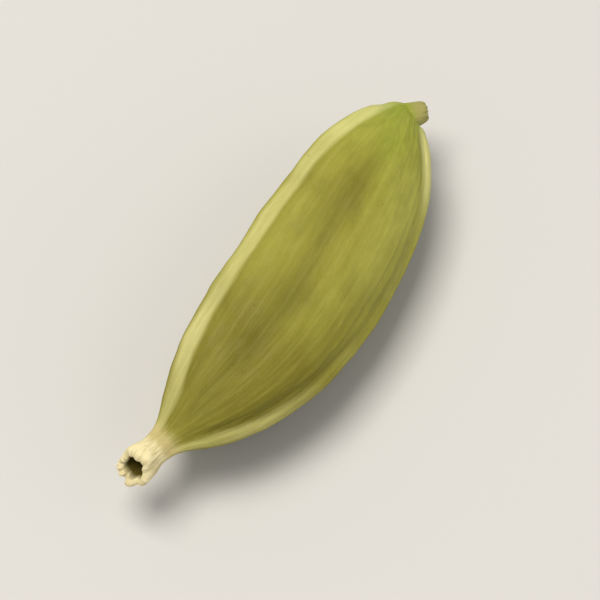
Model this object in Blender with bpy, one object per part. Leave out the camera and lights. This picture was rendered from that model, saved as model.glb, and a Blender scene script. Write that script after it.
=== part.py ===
"""Green cardamom pod: one dried, three-sided seed capsule, lying on its side.

The capsule grew as one piece, so it is one closed solid: husk, three keels, ribs, the short neck
with its broken stalk collar at the -X end, and the little beak at the +X end.
Units are metres, +Z is up, and the origin is at the bottom centre of the pod's box.
"""

import math

import bmesh
import bpy
from mathutils import Matrix, Vector, noise

MM = 0.001

# Driving dimensions
BODY_LENGTH = 19.85 * MM
BODY_WIDTH = 6.52 * MM
NECK_LENGTH = 0.40 * MM
BEAK_LENGTH = 0.64 * MM

# The capsule's long outline, from the stalk end (0) to the beak end (1)
WIDEST_AT = 0.54
STALK_POWER = 3.1
BEAK_POWER = 2.23
BEAK_BLUNTNESS = 0.605
BEND = 1.04 * MM
BEND_EARLY = 0.35

# The cross-section: a rounded triangle with a keel at each corner, far, near and lower in turn.
# Angles are in degrees from the middle of the broad upper face, towards the pod's near side.
KEEL_ANGLES = (-65.0, 67.0, 206.0)
CORNER_LIFTS = (0.085, 0.085, 0.045)
ROLL = math.radians(18.0)
TWIST = math.radians(6.0)
KEEL_HEIGHT = 0.22 * MM
KEEL_HALF_WIDTH = 0.27 * MM
KEEL_FURROW = 0.06 * MM

# Ribs between the keels, for the upper, near and far face: (share of the face's width, height)
RIBS = (
    ((0.17, 0.022 * MM), (0.37, 0.015 * MM), (0.60, 0.040 * MM), (0.78, 0.022 * MM)),
    ((0.14, 0.05 * MM), (0.30, 0.07 * MM), (0.45, 0.09 * MM), (0.61, 0.09 * MM), (0.78, 0.06 * MM)),
    ((0.18, 0.06 * MM), (0.38, 0.08 * MM), (0.60, 0.08 * MM), (0.80, 0.06 * MM)),
)
RIB_HALF_WIDTH = 0.24 * MM
RIB_SWAY = 0.05
FURROWS = ((0.5, 0.0), (0.53, 0.10 * MM), (0.49, 0.13 * MM))
FURROW_HALF_WIDTH = 0.34 * MM

# Soft swellings over the seeds, and the dents between them
SEED_SWELL = 0.14 * MM
SEED_PITCH = 3.2 * MM

# Stalk collar, with the pit that the stalk's pith leaves
NECK_RADIUS = 0.66 * MM
COLLAR_RADIUS = 0.81 * MM
COLLAR_LENGTH = 1.08 * MM
COLLAR_FLARE = 0.46 * MM
PIT_RADIUS = 0.47 * MM
PIT_DEPTH = 0.75 * MM
COLLAR_LOBES = 5
COLLAR_LOBE = 0.09

# How far the collar's mouth is cut back, per unit towards the near side and up
COLLAR_SLANT = -0.10
COLLAR_RAISE = 0.50

# Beak, where the dried flower came away: it narrows a little to its tip
BEAK_RADIUS = 0.46 * MM
BEAK_TIP_RADIUS = 0.42 * MM

# The beak leans towards the near side, out of the line of the bent capsule
BEAK_LEAN = 1.0
BEAK_LEAN_FROM = BODY_LENGTH - 0.6 * MM
BEAK_LEAN_RUN = 0.8 * MM

# The near keel runs on to the beak in a full shoulder, which squares off that side of the blunt end.
# Its height is a share of the width there.
SHOULDER_HEIGHT = 0.85
SHOULDER_AT = BODY_LENGTH + 0.12 * MM
SHOULDER_HALF_LENGTH = 0.50 * MM
SHOULDER_NARROWNESS = 2

REST_CUT = 0.21 * MM

SEGMENTS_PER_FACE = 32
KEEL_CROWDING = 0.55
BODY_RINGS = 42
HUSK_COLOUR = (0.29, 0.27, 0.055, 1.0)
HUSK_ROUGHNESS = 0.6


def clear_scene():
    """Empties the scene of whatever it opened with."""
    for obj in list(bpy.data.objects):
        bpy.data.objects.remove(obj, do_unlink=True)


def smooth(share):
    """A smooth rise from 0 to 1."""
    share = min(1.0, max(0.0, share))
    return share * share * (3.0 - 2.0 * share)


def hump(distance, half_width):
    """A bell of height 1 across a rib, keel or furrow."""
    return math.exp(-((distance / half_width) ** 2))


def body_radius(share):
    """Half the capsule's width at a share of its length: pointed at the stalk, blunt at the beak."""
    if share < WIDEST_AT:
        return BODY_WIDTH / 2 * (1.0 - ((WIDEST_AT - share) / WIDEST_AT) ** STALK_POWER)
    reach = (share - WIDEST_AT) / (1.0 - WIDEST_AT)
    return BODY_WIDTH / 2 * max(0.0, 1.0 - reach**BEAK_POWER) ** BEAK_BLUNTNESS


def beak_radius(station):
    """The beak's own radius at a distance along the pod."""
    along = smooth((station - BODY_LENGTH + BEAK_LENGTH) / (2 * BEAK_LENGTH))
    return BEAK_RADIUS + (BEAK_TIP_RADIUS - BEAK_RADIUS) * along


def blended(radius, stem_radius):
    """A smooth join of the capsule's taper with the neck or beak that it runs into."""
    return (radius**3 + stem_radius**3) ** (1 / 3)


def stalk_rings():
    """Rings (station, radius) from the middle of the pit, over the collar and up the neck."""
    end = -NECK_LENGTH - COLLAR_LENGTH
    lip = COLLAR_RADIUS - PIT_RADIUS
    return [
        (end + PIT_DEPTH, 0.0),
        (end + PIT_DEPTH, PIT_RADIUS * 0.5),
        (end + PIT_DEPTH * 0.8, PIT_RADIUS * 0.88),
        (end + lip * 0.35, PIT_RADIUS),
        (end, PIT_RADIUS + lip * 0.3),
        (end, COLLAR_RADIUS - lip * 0.3),
        (end + lip * 0.4, COLLAR_RADIUS),
        (end + COLLAR_LENGTH - COLLAR_FLARE, COLLAR_RADIUS * 0.97),
        (end + COLLAR_LENGTH - COLLAR_FLARE * 0.5, (COLLAR_RADIUS + NECK_RADIUS) * 0.5),
        (end + COLLAR_LENGTH, NECK_RADIUS * 1.03),
        (-NECK_LENGTH * 0.5, NECK_RADIUS),
    ]


def body_rings():
    """Rings (station, radius) along the capsule, closer together towards its ends."""
    rings = []
    for i in range(BODY_RINGS):
        share = (1 - math.cos(math.pi * (i + 0.35) / BODY_RINGS)) / 2
        station = share * BODY_LENGTH
        stem = NECK_RADIUS if share < WIDEST_AT else beak_radius(station)
        rings.append((station, blended(body_radius(share), stem)))
    return rings


def beak_rings():
    """Rings (station, radius) along the beak, closing at its tip."""
    tip = BODY_LENGTH + BEAK_LENGTH
    stations = [BODY_LENGTH + BEAK_LENGTH * share for share in (0.12, 0.45, 0.8)]
    rings = [(station, beak_radius(station)) for station in stations]
    return rings + [(tip, BEAK_TIP_RADIUS * 0.8), (tip, BEAK_TIP_RADIUS * 0.4), (tip, 0.0)]


def beak_lean(station):
    """(offset, slope) that the beak's lean adds to the middle line."""
    share = max(0.0, (station - BEAK_LEAN_FROM) / BEAK_LEAN_RUN)
    run = share - 0.5 if share > 1.0 else share**3 - share**4 / 2
    return BEAK_LEAN * run * BEAK_LEAN_RUN, BEAK_LEAN * smooth(share)


def centreline(station):
    """(offset towards the near side, slope) of the pod's bent middle line."""
    share = station / BODY_LENGTH
    bent = min(1.0, max(0.0, share))
    run = bent + BEND_EARLY * bent * (1 - bent)
    run_slope = 1 + BEND_EARLY * (1 - 2 * bent)
    slope = BEND * math.pi * run_slope * math.cos(math.pi * run) / BODY_LENGTH
    offset = BEND * math.sin(math.pi * run) + slope * (share - bent) * BODY_LENGTH
    lean_offset, lean_slope = beak_lean(station)
    return offset + lean_offset, slope + lean_slope


def on_capsule(station):
    """1 on the capsule, falling to 0 on the round neck, collar and beak."""
    inside = min(station + 0.5 * MM, BODY_LENGTH + 0.2 * MM - station)
    return smooth(inside / (1.2 * MM))


def crowded(share):
    """Moves evenly spaced shares of a face towards its two keels, which need the finest mesh."""
    return share - KEEL_CROWDING * math.sin(math.tau * share) / math.tau


def section_angle(face, share, station):
    """The angle, from the upper face's middle, of a point at a share of a face's width."""
    first = KEEL_ANGLES[face]
    span = (KEEL_ANGLES[(face + 1) % 3] - first) % 360.0
    twist = TWIST * (station / BODY_LENGTH - 0.5)
    sway = RIB_SWAY * math.sin(2.4 * math.pi * station / BODY_LENGTH + 2.1 * face)
    return math.radians(first + span * share) + twist + sway * math.sin(math.pi * share)


def corner_reach(face, share):
    """The share by which the rounded triangle stands out, or falls short, of a circle."""
    first, last = CORNER_LIFTS[face], CORNER_LIFTS[(face + 1) % 3]
    return (first + (last - first) * smooth(share)) * math.cos(math.tau * share)


def relief(face, share, station, radius):
    """How far keels, ribs, furrows and seeds lift the husk at a point."""
    span = math.radians((KEEL_ANGLES[(face + 1) % 3] - KEEL_ANGLES[face]) % 360.0) * radius
    scale = min(1.0, radius / (1.3 * MM))
    wide = max(0.45, scale)
    to_keel = min(share, 1 - share) * span / wide
    lift = KEEL_HEIGHT * hump(to_keel, KEEL_HALF_WIDTH)
    lift -= KEEL_FURROW * hump(to_keel - 2.2 * KEEL_HALF_WIDTH, KEEL_HALF_WIDTH)
    for at, height in RIBS[face]:
        lift += height * hump((share - at) * span / wide, RIB_HALF_WIDTH)
    at, depth = FURROWS[face]
    lift -= depth * hump((share - at) * span / wide, FURROW_HALF_WIDTH)
    return lift * scale


def seed_swell(position):
    """The low swellings that the seeds press into the husk, at a point of it."""
    return SEED_SWELL * noise.noise(position / SEED_PITCH + Vector((3.1, 8.2, 1.7)))


def shoulder(angle, station):
    """The share by which the near keel's shoulder beside the beak lifts a point."""
    towards = max(0.0, math.cos(angle - math.radians(KEEL_ANGLES[1])))
    along = hump(station - SHOULDER_AT, SHOULDER_HALF_LENGTH)
    return SHOULDER_HEIGHT * towards**SHOULDER_NARROWNESS * along


def pod_point(station, radius, face, share):
    """The point of the husk at a station along the pod and a share of a face's width."""
    capsule = on_capsule(station)
    angle = section_angle(face, share, station)
    reach = radius * (1 + corner_reach(face, share) * capsule)
    reach += relief(face, share, station, radius) * (0.2 + 0.8 * capsule)
    reach += seed_swell(Vector((station, reach * math.sin(angle), reach * math.cos(angle)))) * capsule
    flared = max(0.0, (-NECK_LENGTH - station) / COLLAR_LENGTH)
    reach *= 1 + COLLAR_LOBE * flared * math.sin(COLLAR_LOBES * angle + 0.6)
    reach *= 1 + shoulder(angle, station)
    across, up = reach * math.sin(angle), reach * math.cos(angle)
    station += (COLLAR_SLANT * across + COLLAR_RAISE * up) * flared
    offset, slope = centreline(station)
    across /= math.hypot(1.0, slope)
    return Vector((station - slope * across, offset + across, up))


def pod_to_rest():
    """Turns (along, towards the near side, out of the upper face) into the resting pose.

    The near side is -Y, and the upper face leans towards it.
    """
    return Matrix(
        (
            (1.0, 0.0, 0.0),
            (0.0, -math.cos(ROLL), -math.sin(ROLL)),
            (0.0, -math.sin(ROLL), math.cos(ROLL)),
        )
    )


def husk_mesh():
    """The whole pod: a UV sphere whose rings are laid along the pod's stations."""
    rings = stalk_rings() + body_rings() + beak_rings()
    last = len(rings) - 1
    segments = 3 * SEGMENTS_PER_FACE
    pose = pod_to_rest()
    bm = bmesh.new()
    bmesh.ops.create_uvsphere(bm, u_segments=segments, v_segments=last, radius=1.0)
    for vert in bm.verts:
        ring = round(math.acos(max(-1.0, min(1.0, -vert.co.z))) / math.pi * last)
        segment = round(math.atan2(vert.co.y, vert.co.x) / math.tau * segments) % segments
        face, step = divmod(segment, SEGMENTS_PER_FACE)
        station, radius = rings[ring]
        vert.co = pose @ pod_point(station, radius, face, crowded(step / SEGMENTS_PER_FACE))
    bm.normal_update()
    bmesh.ops.recalc_face_normals(bm, faces=bm.faces)
    return bm


def cut_rest(bm):
    """Levels the lowest part of the husk, as where a drying pod lay: its small flat resting spot."""
    lowest = min(vert.co.z for vert in bm.verts)
    cut = bmesh.ops.bisect_plane(
        bm,
        geom=bm.verts[:] + bm.edges[:] + bm.faces[:],
        dist=1e-7,
        plane_co=(0.0, 0.0, lowest + REST_CUT),
        plane_no=(0.0, 0.0, -1.0),
        clear_outer=True,
    )
    rim = [item for item in cut["geom_cut"] if isinstance(item, bmesh.types.BMEdge)]
    bmesh.ops.contextual_create(bm, geom=rim)


def to_origin(bm):
    """Moves the pod so that the origin is at the bottom centre of its box."""
    low = Vector([min(vert.co[i] for vert in bm.verts) for i in range(3)])
    high = Vector([max(vert.co[i] for vert in bm.verts) for i in range(3)])
    middle = (low + high) / 2
    bmesh.ops.translate(bm, verts=bm.verts, vec=(-middle.x, -middle.y, -low.z))


def husk_material():
    """Plain olive-green husk."""
    material = bpy.data.materials.new("green_husk")
    material.use_nodes = True
    shader = material.node_tree.nodes["Principled BSDF"]
    shader.inputs["Base Color"].default_value = HUSK_COLOUR
    shader.inputs["Roughness"].default_value = HUSK_ROUGHNESS
    shader.inputs["Metallic"].default_value = 0.0
    material.diffuse_color = HUSK_COLOUR
    return material


def make_pod(collection):
    """The pod as one named object."""
    bm = husk_mesh()
    cut_rest(bm)
    to_origin(bm)
    mesh = bpy.data.meshes.new("cardamom_pod")
    bm.to_mesh(mesh)
    bm.free()
    mesh.shade_smooth()
    mesh.set_sharp_from_angle(angle=math.radians(50.0))
    mesh.materials.append(husk_material())
    pod = bpy.data.objects.new("cardamom_pod", mesh)
    collection.objects.link(pod)
    return pod


def main():
    """Builds the pod in a collection of its own."""
    clear_scene()
    collection = bpy.data.collections.new("green_cardamom_pod")
    bpy.context.scene.collection.children.link(collection)
    make_pod(collection)


if __name__ == "__main__":
    main()
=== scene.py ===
"""The dressed green cardamom pod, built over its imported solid.

The husk repeats the solid's form in fine relief: cord-like keels, veins, fibre and drying wrinkles.
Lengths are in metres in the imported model's frame. +X runs from the stalk to the beak, and +Z is up.
"""

from __future__ import annotations

import logging
import math
import random
from collections.abc import Callable, Sequence
from dataclasses import dataclass, replace
from enum import Enum

import bmesh
import bpy
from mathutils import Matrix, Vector, noise

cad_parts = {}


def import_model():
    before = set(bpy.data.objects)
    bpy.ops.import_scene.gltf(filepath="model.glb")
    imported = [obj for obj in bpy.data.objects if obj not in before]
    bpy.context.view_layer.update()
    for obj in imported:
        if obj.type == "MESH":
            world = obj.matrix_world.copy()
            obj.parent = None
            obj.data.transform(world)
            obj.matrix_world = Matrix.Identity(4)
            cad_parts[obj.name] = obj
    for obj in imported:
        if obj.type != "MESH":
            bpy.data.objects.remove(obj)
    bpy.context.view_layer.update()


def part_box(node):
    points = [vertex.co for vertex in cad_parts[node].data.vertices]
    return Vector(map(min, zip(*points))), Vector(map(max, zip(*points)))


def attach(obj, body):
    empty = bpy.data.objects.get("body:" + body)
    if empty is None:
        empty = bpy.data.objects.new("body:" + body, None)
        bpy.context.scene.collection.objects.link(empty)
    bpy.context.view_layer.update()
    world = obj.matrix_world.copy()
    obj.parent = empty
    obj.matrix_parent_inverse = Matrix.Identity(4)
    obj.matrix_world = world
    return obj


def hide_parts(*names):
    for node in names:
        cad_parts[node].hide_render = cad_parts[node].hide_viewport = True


MM = 0.001
NODE = "cardamom_pod"
LOG = logging.getLogger("cardamom_pod")

Colour = tuple[float, float, float, float]

# The constants of the curve between screen colours and linear ones
SRGB_OFFSET = 0.055
SRGB_SCALE = 1.055
SRGB_POWER = 2.4

# The attributes that the husk's finish reads; two of them hold shade painted into the furrows and into the
# pit
MASKS = ("along", "keel", "vein", "hollow_shade", "light", "dark", "stalk", "flower", "pit")


def srgb(red: int, green: int, blue: int) -> Colour:
    """Turns a screen colour into a linear one.

    Args:
        red: Red, from 0 to 255.
        green: Green, from 0 to 255.
        blue: Blue, from 0 to 255.

    Returns:
        The linear colour, with full alpha.
    """
    linear = [((value / 255 + SRGB_OFFSET) / SRGB_SCALE) ** SRGB_POWER for value in (red, green, blue)]
    return (linear[0], linear[1], linear[2], 1.0)


def smooth(share: float) -> float:
    """Gives a smooth rise from 0 to 1 as share does so, and holds it there."""
    share = min(1.0, max(0.0, share))
    return share * share * (3.0 - 2.0 * share)


def hump(distance: float, half_width: float) -> float:
    """Gives a bell of height 1 across a vein, rib or keel."""
    return math.exp(-((distance / half_width) ** 2))


def mixed(first: float, last: float, share: float) -> float:
    """Gives the value at a share of the way from first to last."""
    return first + (last - first) * share


class Face(Enum):
    """The three faces between the keels, in the order in which they follow round the pod."""

    UPPER = 0
    NEAR = 1
    FAR = 2


class Keel(Enum):
    """The three keels, each at the start of the face with the same number."""

    FAR = 0
    NEAR = 1
    LOWER = 2


class Zone(Enum):
    """What a ring of the husk belongs to."""

    PIT = "pit"
    COLLAR = "collar"
    CAPSULE = "capsule"
    BEAK = "beak"


@dataclass(frozen=True)
class Ring:
    """A ring of the husk: where it lies along the pod, how wide it is, and what it belongs to."""

    station: float
    radius: float
    zone: Zone


@dataclass(frozen=True)
class Vein:
    """A fine raised line that runs the length of a face.

    Attributes:
        at: Its share of the face's width, from keel to keel.
        height: Its height, in millimetres.
        half_width: Half its width, in millimetres.
        seed: What sets its wander apart from that of other veins.
    """

    at: float
    height: float
    half_width: float
    seed: float


@dataclass(frozen=True)
class Crease:
    """A long soft fold in one face of the dried husk.

    Attributes:
        face: The face that it is on.
        at: Its share of the face's width, at its start.
        drift: How far that share changes over the pod's length.
        start: Where it starts, as a share of the pod's length.
        end: Where it ends, as a share of the pod's length.
        depth: Its depth, in millimetres.
        half_width: Half its width, in millimetres.
        fade_in: The share of the pod's length over which it deepens.
        fade_out: The share over which it runs out.
    """

    face: Face
    at: float
    drift: float
    start: float
    end: float
    depth: float
    half_width: float
    fade_in: float = 0.09
    fade_out: float = 0.18

    def strength(self, face: int, share: float, along: float, span: float) -> float:
        """Gives 1 at the crease's bottom, falling to 0 beside it and at its ends.

        Args:
            face: The point's face.
            share: The point's share of the face's width.
            along: The point's share of the pod's length.
            span: The face's width there, in millimetres.

        Returns:
            The strength.
        """
        if face != self.face.value:
            return 0.0
        inside = smooth((along - self.start) / self.fade_in) * smooth((self.end - along) / self.fade_out)
        centre = self.at + self.drift * (along - self.start)
        return inside * hump((share - centre) * span, self.half_width)


@dataclass(frozen=True)
class Skin:
    """The fine relief at one point of the husk, and the masks that its finish reads.

    Attributes:
        lift: How far the husk stands out, in metres.
        slip: How far it is moved along the pod, in metres.
        keel: 1 on a keel's cord, falling to 0 beside it.
        vein: 1 on a vein's crest.
        hollow_shade: Painted shade, 1 in the deepest furrows and creases.
        light: 1 where the husk's colour is lightest.
        dark: 1 where its colour is darkest.
    """

    lift: float
    slip: float = 0.0
    keel: float = 0.0
    vein: float = 0.0
    hollow_shade: float = 0.0
    light: float = 0.0
    dark: float = 0.0


@dataclass(frozen=True)
class Spot:
    """A place on the husk, in millimetres.

    Attributes:
        along: Its distance along the pod.
        side: Its place round the pod, from far to near, on a circle of the pod's usual radius.
        out: Its place round the pod, from below to above, on the same circle.
        to_keel: Its distance from the line of the nearest keel, with its side as its sign.
        keel: Which keel that is.
    """

    along: float
    side: float
    out: float
    to_keel: float
    keel: int

    def noise(self, along: float, around: float, seed: float = 0.0) -> float:
        """Gives noise of so many features a millimetre along and around the pod, from -1 to 1."""
        return noise.noise(Vector((self.along * along + seed, self.side * around, self.out * around)))

    def cord_noise(self, along: float, seed: float) -> float:
        """Gives noise that changes along a keel alone, from -1 to 1."""
        return noise.noise(Vector((self.along * along, 5.0 * self.keel, seed)))


@dataclass(frozen=True)
class Layer:
    """A layer of noise over the husk.

    Attributes:
        height: How strong it is, in millimetres.
        along: How many features it has in a millimetre along the pod.
        around: How many it has in a millimetre round the pod.
        seed: What sets it apart from other layers.
    """

    height: float
    along: float
    around: float
    seed: float = 0.0

    def at(self, spot: Spot) -> float:
        """Gives the layer's value at a place, in millimetres."""
        return self.height * spot.noise(self.along, self.around, self.seed)


@dataclass(frozen=True)
class KeelTone:
    """How pale the cord along a keel dried.

    Attributes:
        middle: Its paleness along its middle, from 0 to 1.
        stalk: How much paler it is at the stalk.
        beak: How much paler it is at the beak.
        beak_from: Where it starts to pale towards the beak, as a share of the pod's length.
        beak_run: The share of the length over which it does so.
        inwards: How far the pale line lies off the keel's own, at the stalk and the beak, in millimetres.
        stalk_from: Where its paleness at the stalk starts to fall, as a share of the length.
        stalk_run: The share of the length over which that falls.
    """

    middle: float
    stalk: float = 0.0
    beak: float = 0.0
    beak_from: float = 0.76
    beak_run: float = 0.20
    inwards: tuple[float, float] = (0.0, 0.0)
    stalk_from: float = 0.10
    stalk_run: float = 0.30

    def paleness(self, along: float) -> float:
        """Gives the paleness at a share of the pod's length."""
        at_stalk = 1 - smooth((along - self.stalk_from) / self.stalk_run)
        at_beak = smooth((along - self.beak_from) / self.beak_run)
        return self.middle + self.stalk * at_stalk + self.beak * at_beak


@dataclass(frozen=True)
class Patch:
    """A soft patch of the husk whose colour is lighter or darker.

    Attributes:
        face: The face that it is on.
        at: Its share of the face's width.
        along: How far along the pod it is, in millimetres.
        length: Half its length, in millimetres.
        width: Half its width, in millimetres.
        light: How much lighter it is, or how much darker if it is below 0.
        ragged_ends: What makes its ends uneven.
        ragged_sides: What makes its sides uneven.
    """

    face: Face
    at: float
    along: float
    length: float
    width: float
    light: float
    ragged_ends: Layer = Layer(0.5, 0.8, 0.9, 50.0)
    ragged_sides: Layer = Layer(0.16, 0.7, 1.1, 60.0)

    def amount(self, face: int, share: float, span: float, spot: Spot) -> float:
        """Gives how much lighter the patch makes a point.

        Args:
            face: The point's face.
            share: Its share of the face's width.
            span: The face's width there, in millimetres.
            spot: The point's place.

        Returns:
            The amount, below 0 where the patch makes it darker.
        """
        if face != self.face.value:
            return 0.0
        run = spot.along - self.along + self.ragged_ends.at(spot)
        side = (share - self.at) * span + self.ragged_sides.at(spot)
        return self.light * hump(run, self.length) * hump(side, self.width)


@dataclass(frozen=True)
class PodForm:
    """The pod's form, by the same named values as its solid.

    Its angles are in degrees from the middle of the broad upper face, towards the pod's near side.
    """

    # Driving dimensions
    body_length: float = 19.85 * MM
    body_width: float = 6.52 * MM
    neck_length: float = 0.40 * MM
    beak_length: float = 0.64 * MM

    # The capsule's long outline, from the stalk end (0) to the beak end (1)
    widest_at: float = 0.54
    stalk_power: float = 3.1
    beak_power: float = 2.23
    beak_bluntness: float = 0.605
    bend: float = 1.04 * MM
    bend_early: float = 0.35

    # The cross-section, with a keel at each corner: far, near and lower
    keel_angles: tuple[float, float, float] = (-65.0, 67.0, 206.0)
    corner_lifts: tuple[float, float, float] = (0.085, 0.085, 0.045)
    roll: float = math.radians(18.0)
    twist: float = math.radians(6.0)
    keel_height: float = 0.22 * MM
    keel_half_width: float = 0.27 * MM
    keel_furrow: float = 0.06 * MM
    furrow_place: float = 2.2
    full_relief_radius: float = 1.3 * MM
    least_width: float = 0.45
    relief_at_ends: float = 0.2

    # Ribs and a furrow on the upper, near and far face: (share of its width, height in millimetres)
    ribs: tuple[tuple[tuple[float, float], ...], ...] = (
        ((0.17, 0.022), (0.37, 0.015), (0.60, 0.040), (0.78, 0.022)),
        ((0.14, 0.05), (0.30, 0.07), (0.45, 0.09), (0.61, 0.09), (0.78, 0.06)),
        ((0.18, 0.06), (0.38, 0.08), (0.60, 0.08), (0.80, 0.06)),
    )
    rib_half_width: float = 0.24 * MM
    rib_sway: float = 0.05
    sway_waves: float = 2.4
    sway_lag: float = 2.1
    furrows: tuple[tuple[float, float], ...] = ((0.5, 0.0), (0.53, 0.10), (0.49, 0.13))
    furrow_half_width: float = 0.34 * MM

    # Soft swellings over the seeds, and where the capsule's form gives way to its round ends
    seed_swell: float = 0.14 * MM
    seed_pitch: float = 3.2 * MM
    swell_seed: tuple[float, float, float] = (3.1, 8.2, 1.7)
    past_stalk: float = 0.5 * MM
    past_beak: float = 0.2 * MM
    end_run: float = 1.2 * MM

    # Neck, stalk collar and pit
    neck_radius: float = 0.66 * MM
    collar_radius: float = 0.81 * MM
    collar_length: float = 1.08 * MM
    collar_flare: float = 0.46 * MM
    pit_radius: float = 0.47 * MM
    pit_depth: float = 0.75 * MM
    collar_lobes: int = 5
    collar_lobe: float = 0.09
    lobe_turn: float = 0.6
    collar_slant: float = -0.10
    collar_raise: float = 0.50

    # Beak, and the near keel's full shoulder beside it
    beak_radius: float = 0.46 * MM
    beak_tip_radius: float = 0.42 * MM
    beak_lean: float = 1.0
    beak_lean_from: float = 19.25 * MM
    beak_lean_run: float = 0.8 * MM
    shoulder_height: float = 0.85
    shoulder_at: float = 19.97 * MM
    shoulder_half_length: float = 0.50 * MM
    shoulder_narrowness: int = 2

    # How far the form is moved into its solid's box
    shift: tuple[float, float, float] = (0.0, 0.0, 0.0)

    @property
    def mouth(self) -> float:
        """Where along the pod the collar's mouth is."""
        return -self.neck_length - self.collar_length

    @property
    def tip(self) -> float:
        """Where along the pod the beak's tip is."""
        return self.body_length + self.beak_length

    def capsule_radius(self, share: float) -> float:
        """Gives half the capsule's width at a share of its length."""
        if share < self.widest_at:
            reach = (self.widest_at - share) / self.widest_at
            return self.body_width / 2 * (1.0 - reach**self.stalk_power)
        reach = (share - self.widest_at) / (1.0 - self.widest_at)
        return self.body_width / 2 * max(0.0, 1.0 - reach**self.beak_power) ** self.beak_bluntness

    def beak_radius_at(self, station: float) -> float:
        """Gives the beak's own radius at a distance along the pod."""
        along = smooth((station - self.body_length + self.beak_length) / (2 * self.beak_length))
        return mixed(self.beak_radius, self.beak_tip_radius, along)

    def body_radius_at(self, share: float) -> float:
        """Gives the radius at a share of the capsule's length, with the neck and the beak joined in."""
        station = share * self.body_length
        stem = self.neck_radius if share < self.widest_at else self.beak_radius_at(station)
        return (self.capsule_radius(share) ** 3 + stem**3) ** (1 / 3)

    def stalk_rings(self) -> list[Ring]:
        """Gives the rings from the middle of the pit, over the collar and up the neck.

        Returns:
            The rings, with those of the pit first.
        """
        end, lip = self.mouth, self.collar_radius - self.pit_radius
        inner = [
            (end + self.pit_depth, 0.0),
            (end + self.pit_depth, self.pit_radius * 0.5),
            (end + self.pit_depth * 0.8, self.pit_radius * 0.88),
            (end + lip * 0.35, self.pit_radius),
            (end, self.pit_radius + lip * 0.3),
        ]
        outer = [
            (end, self.collar_radius - lip * 0.3),
            (end + lip * 0.4, self.collar_radius),
            (end + self.collar_length - self.collar_flare, self.collar_radius * 0.97),
            (
                end + self.collar_length - self.collar_flare * 0.5,
                (self.collar_radius + self.neck_radius) * 0.5,
            ),
            (end + self.collar_length, self.neck_radius * 1.03),
            (-self.neck_length * 0.5, self.neck_radius),
        ]
        pit = [Ring(station, radius, Zone.PIT) for station, radius in inner]
        return pit + [Ring(station, radius, Zone.COLLAR) for station, radius in outer]

    def body_rings(self, count: int, evenness: float) -> list[Ring]:
        """Gives the rings along the capsule, closer together towards its ends.

        Args:
            count: How many rings there are.
            evenness: 0 crowds them most at the ends, and 1 spaces them evenly.

        Returns:
            The rings, from the stalk to the beak.
        """
        rings = []
        for index in range(count):
            along = (index + 0.35) / count
            share = mixed((1 - math.cos(math.pi * along)) / 2, along, evenness)
            rings.append(Ring(share * self.body_length, self.body_radius_at(share), Zone.CAPSULE))
        return rings

    def beak_rings(self) -> list[Ring]:
        """Gives the rings along the beak, closing at its tip."""
        stations = [self.body_length + self.beak_length * share for share in (0.12, 0.45, 0.8)]
        rings = [Ring(station, self.beak_radius_at(station), Zone.BEAK) for station in stations]
        rings += [Ring(self.tip, self.beak_tip_radius * share, Zone.BEAK) for share in (0.8, 0.4, 0.0)]
        return rings

    def lean(self, station: float) -> tuple[float, float]:
        """Gives the offset and slope that the beak's lean adds to the middle line."""
        share = max(0.0, (station - self.beak_lean_from) / self.beak_lean_run)
        run = share - 0.5 if share > 1.0 else share**3 - share**4 / 2
        return self.beak_lean * run * self.beak_lean_run, self.beak_lean * smooth(share)

    def centreline(self, station: float) -> tuple[float, float]:
        """Gives the pod's bent middle line at a distance along it.

        Args:
            station: How far along the pod it is read.

        Returns:
            Its offset towards the near side, and its slope.
        """
        share = station / self.body_length
        bent = min(1.0, max(0.0, share))
        run = bent + self.bend_early * bent * (1 - bent)
        run_slope = 1 + self.bend_early * (1 - 2 * bent)
        slope = self.bend * math.pi * run_slope * math.cos(math.pi * run) / self.body_length
        offset = self.bend * math.sin(math.pi * run) + slope * (share - bent) * self.body_length
        lean_offset, lean_slope = self.lean(station)
        return offset + lean_offset, slope + lean_slope

    def place(self, station: float, across: float, up: float) -> Vector:
        """Gives the resting place of a point of a cross-section.

        Args:
            station: How far along the pod the cross-section is.
            across: How far the point is from the middle line, towards the near side.
            up: How far it is from the middle line, out of the upper face.

        Returns:
            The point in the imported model's frame.
        """
        flared = max(0.0, (-self.neck_length - station) / self.collar_length)
        station += (self.collar_slant * across + self.collar_raise * up) * flared
        offset, slope = self.centreline(station)
        across /= math.hypot(1.0, slope)
        near, cos, sin = offset + across, math.cos(self.roll), math.sin(self.roll)
        rested = Vector((station - slope * across, -near * cos - up * sin, -near * sin + up * cos))
        return rested + Vector(self.shift)

    def on_capsule(self, station: float) -> float:
        """Gives 1 on the capsule, falling to 0 on the round neck, collar and beak."""
        inside = min(station + self.past_stalk, self.body_length + self.past_beak - station)
        return smooth(inside / self.end_run)

    def span(self, face: int, radius: float) -> float:
        """Gives the width of a face, from keel to keel, along the husk."""
        degrees = (self.keel_angles[(face + 1) % 3] - self.keel_angles[face]) % 360.0
        return math.radians(degrees) * radius

    def section_angle(self, face: int, share: float, station: float) -> float:
        """Gives the angle of a point at a share of a face's width.

        Args:
            face: The face that it is on.
            share: Its share of the face's width.
            station: How far along the pod it is.

        Returns:
            The angle from the upper face's middle, in radians.
        """
        first = self.keel_angles[face]
        width = (self.keel_angles[(face + 1) % 3] - first) % 360.0
        twist = self.twist * (station / self.body_length - 0.5)
        wave = self.sway_waves * math.pi * station / self.body_length + self.sway_lag * face
        sway = self.rib_sway * math.sin(wave)
        return math.radians(first + width * share) + twist + sway * math.sin(math.pi * share)

    def corner_reach(self, face: int, share: float) -> float:
        """Gives the share by which the rounded triangle stands out from a circle."""
        first, last = self.corner_lifts[face], self.corner_lifts[(face + 1) % 3]
        return mixed(first, last, smooth(share)) * math.cos(math.tau * share)

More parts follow.
